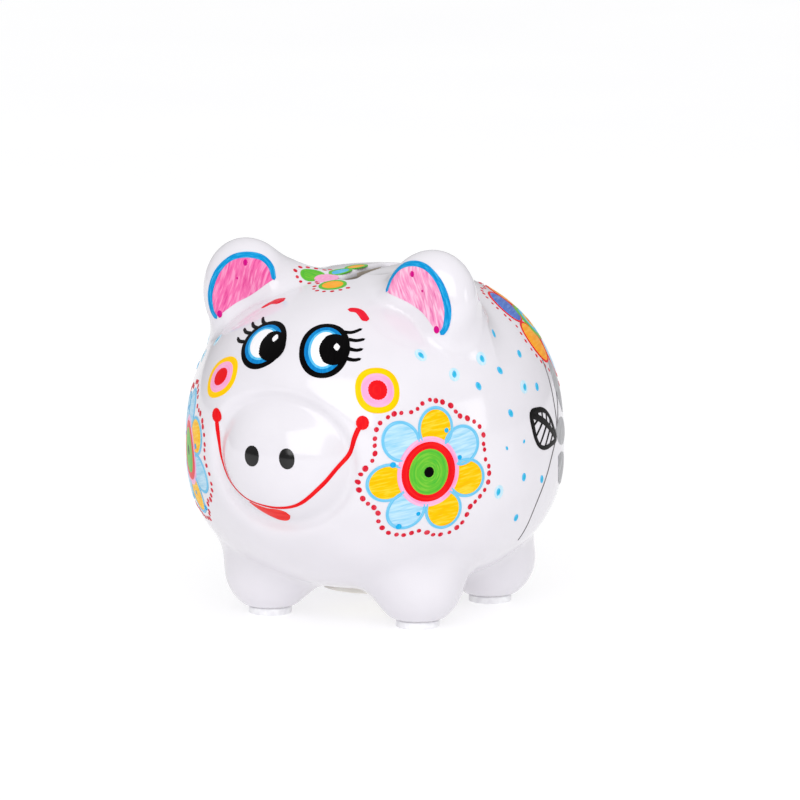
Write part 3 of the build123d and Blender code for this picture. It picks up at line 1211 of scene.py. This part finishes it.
@dataclass
class Sprig:
    """A thin stem with leaves: one drawn in black with its veins, the others hatched in grey."""

    form: PigForm
    side: Side
    place: tuple = (69.1, 0.6, 72.3)
    tip: tuple = (-7.4, 6.8)
    base: tuple = (12.6, -5.0)
    half_widths: tuple = (5.2, 8.4)
    vein_count: int = 6
    stem: tuple = ((13.9, 24.4), (13.9, 9.0), (13.8, -2.1), (5.6, -13.9), (-1.8, -27.9), (-1.3, -40.9))
    back_stem: tuple = ((22.0, 22.0), (19.0, 8.0), (14.0, -3.0))
    grey_leaves: tuple = (((22.0, 24.0), (27.0, 3.0), 5.4), ((16.0, -12.0), (33.0, -24.0), 5.6),
                          ((12.0, -2.0), (34.0, -5.0), 5.2))

    def flip(self, points: Sequence) -> np.ndarray:
        """Mirrors flat points for the pig's right side."""
        return np.asarray(points, float) * [self.side.value, 1.0]

    def leaf_edge(self, tip: Sequence, base: Sequence, half_width: float, hand: int) -> np.ndarray:
        """Gives one edge of a leaf.

        Args:
            tip: The leaf's tip.
            base: Where it leaves its stem.
            half_width: Half of its width.
            hand: 1 for the edge on the left of the way from tip to base, -1 for the other.
        Returns:
            Points from tip to base.
        """
        tip, base = np.asarray(tip, float), np.asarray(base, float)
        way = base - tip
        side = np.array([-way[1], way[0]]) / np.linalg.norm(way) * half_width * hand
        shares = np.linspace(0, 1, 7)[:, None]
        return tip + way * shares + side * np.sin(np.pi * shares ** 0.85)

    def paint(self) -> None:
        """Paints the stem, the veined leaf and the grey leaves."""
        name = f"sprig_{self.side.label}_"
        x, y, z = self.place
        spot = Spot(self.form, (self.side.value * x, y, z))
        stems = Film(self.form, name + "stem", PenFinish(Ink.STEM_GREY, stroke_mm=0.4), 0)
        stems.line(spot, self.flip(self.stem), (0.7, 0.8, 0.7, 0.6))
        stems.line(spot, self.flip(self.back_stem), (0.6, 0.7)).done()
        pen = PenFinish(Ink.LEAF_GREY, stroke_mm=0.6, patchiness=0.9)
        grey = Film(self.form, name + "grey_leaves", pen, 1, grain=60.0)
        for tip, base, half_width in self.grey_leaves:
            edges = [self.flip(self.leaf_edge(tip, base, half_width, hand)) for hand in (-1, 1)]
            grey.area(spot, *(edges if self.side is Side.LEFT else edges[::-1]))
        grey.done()
        black = Film(self.form, name + "veined_leaf", PenFinish(Ink.LEAF_BLACK, stroke_mm=0.5), 1)
        left, right = (self.leaf_edge(self.tip, self.base, width, hand)
                       for width, hand in zip(self.half_widths, (1, -1)))
        loop = np.vstack([left, right[-2:0:-1]])
        black.line(spot, self.flip(loop), (2.6, 1.5, 1.9, 1.6, 2.6), closed=True)
        rib = np.array([self.tip, np.add(self.tip, self.base) / 2 + [0.6, 1.0], self.base])
        black.line(spot, self.flip(rib), (2.6, 2.4, 1.6))
        rib_line = smooth_line(rib)
        for edge in (smooth_line(left), smooth_line(right)):
            for vein in range(1, self.vein_count):
                share = vein / self.vein_count
                inner = at_shares(rib_line, np.array([share * 0.88 + 0.08]))[0]
                outer = at_shares(edge, np.array([share * 0.9]))[0]
                black.line(spot, self.flip([inner, (inner + outer) / 2, outer]), (1.1, 0.9, 0.9))
        black.done()


@dataclass
class Garden:
    """All the flowers, dots and sprigs painted over the body."""

    form: PigForm
    flank_place: tuple = (49.4, -52.9, 62.9)
    flank_rings: tuple = ((Ink.ROSE, (12.3, 13.0)), (Ink.RED, (10.7, 11.1)), (Ink.GREEN, (7.8, 8.5)),
                          (Ink.BLACK, (2.4, 2.4)))
    flank_angles: tuple = ((79, Ink.PETAL_YELLOW), (33, Ink.PETAL_BLUE), (-12, Ink.PETAL_YELLOW),
                           (-65, Ink.PETAL_YELLOW), (-119, Ink.PETAL_BLUE), (-168, Ink.PETAL_YELLOW),
                           (133, Ink.PETAL_BLUE))
    right_flank_angles: tuple = ((27, Ink.PETAL_YELLOW), (-25, Ink.PETAL_BLUE), (-77, Ink.PETAL_YELLOW),
                                 (-128, Ink.PETAL_BLUE), (180, Ink.PETAL_YELLOW), (129, Ink.PETAL_BLUE),
                                 (78, Ink.PETAL_BLUE))
    right_flank_shift: tuple = (-2.5, 0.5)
    flank_drops: tuple = ((-14.0, 3.4, 1.1), (7.4, 14.6, 0.9), (12.6, 4.4, 0.9), (-9.6, -20.4, 1.1),
                          (-3.0, -15.6, 0.8))

    def flank_flowers(self) -> None:
        """Paints the big flower on each flank, the right one turned another way."""
        for side, angles, shift in ((Side.LEFT, self.flank_angles, (0.0, 0.0)),
                                    (Side.RIGHT, self.right_flank_angles, self.right_flank_shift)):
            x, y, z = self.flank_place
            petals = [Petal(angle, ink) for angle, ink in angles]
            drops = tuple((side.value * a, b, radius) for a, b, radius in self.flank_drops)
            Flower(self.form, f"flank_flower_{side.label}", (side.value * x, y, z), petals,
                   self.flank_rings, drops=drops, shift=shift).paint()

    def shoulder_flowers(self) -> None:
        """Paints the red-edged flower behind each ear."""
        inks = (Ink.INDIGO, Ink.ORANGE, Ink.PETAL_BLUE, Ink.INDIGO, Ink.ORANGE)
        rings = tuple((ink, (radius, radius)) for ink, radius in (
            (Ink.GREEN, 8.2), (Ink.SKY, 5.8), (Ink.YELLOW, 3.8), (Ink.RED, 1.8)))
        for side in Side:
            sign = side.value
            petals = []
            for number, ink in enumerate(inks):
                angle = 149 + 72 * number
                petals.append(Petal(angle if sign > 0 else 180 - angle, ink, 14.2, 7.2, 8.5))
            Flower(self.form, f"shoulder_flower_{side.label}", (sign * 48.5, 2.1, 115.3), petals, rings,
                   outline_ink=Ink.RED, outline_width=1.0, dot_count=46, dot_gap=2.6, dot_radius=0.65,
                   shift=(sign * 25.5, -6.5)).paint()

    def crown_flower(self) -> None:
        """Paints the small flower on top of the head, beside the slot's front end."""
        petals = [Petal(181, Ink.GREEN, 6.2, 4.0, 3.8), Petal(-38, Ink.ORANGE, 9.2, 4.8, 4.6),
                  Petal(95, Ink.SKY, 9.5, 5.2, 3.0), Petal(95, Ink.ORANGE, 20.0, 5.0, 3.0)]
        rings = ((Ink.ROSE, (4.8, 4.2)),)
        Flower(self.form, "crown_flower", (-7.3, -25.0, 126.8), petals, rings, outline_ink=Ink.GREEN,
               outline_width=1.4, dot_count=40, dot_gap=2.2, dot_radius=0.75,
               dots_on=(120.0, 345.0)).paint()

    def rump_flowers(self) -> None:
        """Paints a flower on each side of the tail."""
        inks = (Ink.PETAL_BLUE, Ink.PETAL_YELLOW, Ink.ROSE, Ink.PETAL_BLUE, Ink.PETAL_YELLOW, Ink.ROSE)
        rings = tuple((ink, (radius, radius)) for ink, radius in (
            (Ink.YELLOW, 6.2), (Ink.RED, 4.6), (Ink.GREEN, 2.2)))
        for side in Side:
            sign = side.value
            petals = [Petal(30 + 60 * number, ink, 10.6, 6.0, 5.0) for number, ink in enumerate(inks)]
            Flower(self.form, f"rump_flower_{side.label}", (sign * 33.0, 64.0, 58.0), petals, rings,
                   dot_count=38, dot_gap=2.6, dot_radius=0.7).paint()

    def paint(self) -> None:
        """Paints the whole garden."""
        self.flank_flowers()
        self.shoulder_flowers()
        self.crown_flower()
        self.rump_flowers()
        for side in Side:
            DewDots(self.form, side).paint()
            Sprig(self.form, side).paint()


# ---- rubber, pads and the studio ------------------------------------------------------------------
@dataclass
class Fittings:
    """The stopper, the foot pads and their adhesive, whose CAD shapes are kept and dressed."""

    frame: dict
    finishes: tuple = (("belly_stopper", RUBBER), ("foot_pad_", FOAM), ("pad_adhesive_", ADHESIVE))

    def dress(self) -> None:
        """Gives each fitting its finish."""
        for start, finish in self.finishes:
            material = finish.material()
            for name, node in self.frame["nodes"].items():
                if name.startswith(start):
                    node.data.materials.clear()
                    node.data.materials.append(material)
                    log.info("%s: %s", name, finish.name)


@dataclass(frozen=True)
class Softbox:
    """A studio light: where it stands round the bank, its size in metres and how much it adds."""

    name: str
    azimuth: float
    elevation: float
    distance: float
    width: float
    height: float
    brightness: float


@dataclass
class Studio:
    """The floor, the light and the camera.

    The camera's distance, view and aim are in millimetres, the floor, the softboxes and the camera's clip
    in metres, and the directions in degrees round the bank.
    """

    middle_y: float
    azimuth: float = 27.45
    elevation: float = 8.65
    distance: float = 2500.0
    view_width: float = 297.7
    aim_right: float = 9.05
    aim_height: float = 78.65
    sensor: float = 36.0
    floor_radius: float = 9.0
    horizon_light: float = 0.36
    zenith_light: float = 1.0
    clip: tuple = (0.1, 40.0)
    softboxes: tuple = (Softbox("key_softbox", 24.0, 27.0, 3.4, 3.2, 2.4, 0.53),
                        Softbox("side_window", 98.0, 10.0, 2.2, 0.5, 0.6, 0.05))

    def direction(self, azimuth: float, elevation: float) -> Vector:
        """Gives the direction from the bank to a place round it."""
        a, e = math.radians(azimuth), math.radians(elevation)
        return Vector((math.sin(a) * math.cos(e), -math.cos(a) * math.cos(e), math.sin(e)))

    def lay_floor(self) -> None:
        """Makes the lit table top."""
        bm = bmesh.new()
        bmesh.ops.create_circle(bm, cap_ends=True, segments=96, radius=self.floor_radius)
        floor = new_object("table_top", bm, (OPAL.material(),))

    def light(self) -> None:
        """Makes a white room that is brightest overhead, and the softboxes."""
        world = bpy.data.worlds.new("white_room")
        world.use_nodes = True
        tree = world.node_tree
        way = add_node(tree, "ShaderNodeTexCoord").outputs["Generated"]
        height = add_node(tree, "ShaderNodeSeparateXYZ", links={"Vector": way}).outputs["Z"]
        rising = add_node(tree, "ShaderNodeMapRange",
                          {"To Min": self.horizon_light, "To Max": self.zenith_light}, {"Value": height})
        background = tree.nodes["Background"]
        background.inputs["Color"].default_value = (1.0, 1.0, 1.0, 1.0)
        tree.links.new(rising.outputs["Result"], background.inputs["Strength"])
        bpy.context.scene.world = world
        aim = Vector((0.0, 0.0, self.aim_height * MM))
        for box in self.softboxes:
            lamp = bpy.data.lights.new(box.name, "AREA")
            lamp.shape = "RECTANGLE"
            lamp.size, lamp.size_y = box.width, box.height
            lamp.energy = box.brightness * (math.pi * box.distance) ** 2
            stand = bpy.data.objects.new(box.name, lamp)
            away = self.direction(box.azimuth, box.elevation)
            stand.location = aim + away * box.distance
            stand.rotation_euler = (-away).to_track_quat("-Z", "Y").to_euler()
            bpy.context.scene.collection.objects.link(stand)

    def place_camera(self) -> None:
        """Makes the camera, and keeps the picture's colours as they are."""
        camera = bpy.data.cameras.new("camera")
        camera.sensor_width = self.sensor
        camera.lens = self.sensor * self.distance / self.view_width
        camera.clip_start, camera.clip_end = self.clip
        stand = bpy.data.objects.new("camera", camera)
        a = math.radians(self.azimuth)
        right = Vector((math.cos(a), math.sin(a), 0.0))
        aim = right * self.aim_right + Vector((0.0, self.middle_y, self.aim_height))
        away = self.direction(self.azimuth, self.elevation)
        stand.location = (aim + away * self.distance) * MM
        stand.rotation_euler = (-away).to_track_quat("-Z", "Y").to_euler()
        bpy.context.scene.collection.objects.link(stand)
        bpy.context.scene.camera = stand
        bpy.context.scene.view_settings.view_transform = "Standard"


def main() -> None:
    """Builds the bank's looks round the frame."""
    logging.basicConfig(level=logging.INFO, format="%(name)s %(message)s")
    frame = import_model()
    form = PigForm()
    snout_tip = form.snout_centre[1] - form.snout_radii[1]
    form.middle_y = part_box(SHELL)[0].y / MM - snout_tip
    CeramicCasting(form).build()
    Fittings(frame).dress()
    Face(form).paint()
    EarPaint(form, Side.LEFT, Ink.EAR_PINK, inner_lift=0.5, top_drop=0.3).paint()
    EarPaint(form, Side.RIGHT, Ink.EAR_ROSE, inner_lift=2.0, top_drop=1.4).paint()
    Garden(form).paint()
    studio = Studio(form.middle_y)
    studio.lay_floor()
    studio.light()
    studio.place_camera()
    log.info("sizes written")


if __name__ == "__main__":
    main()
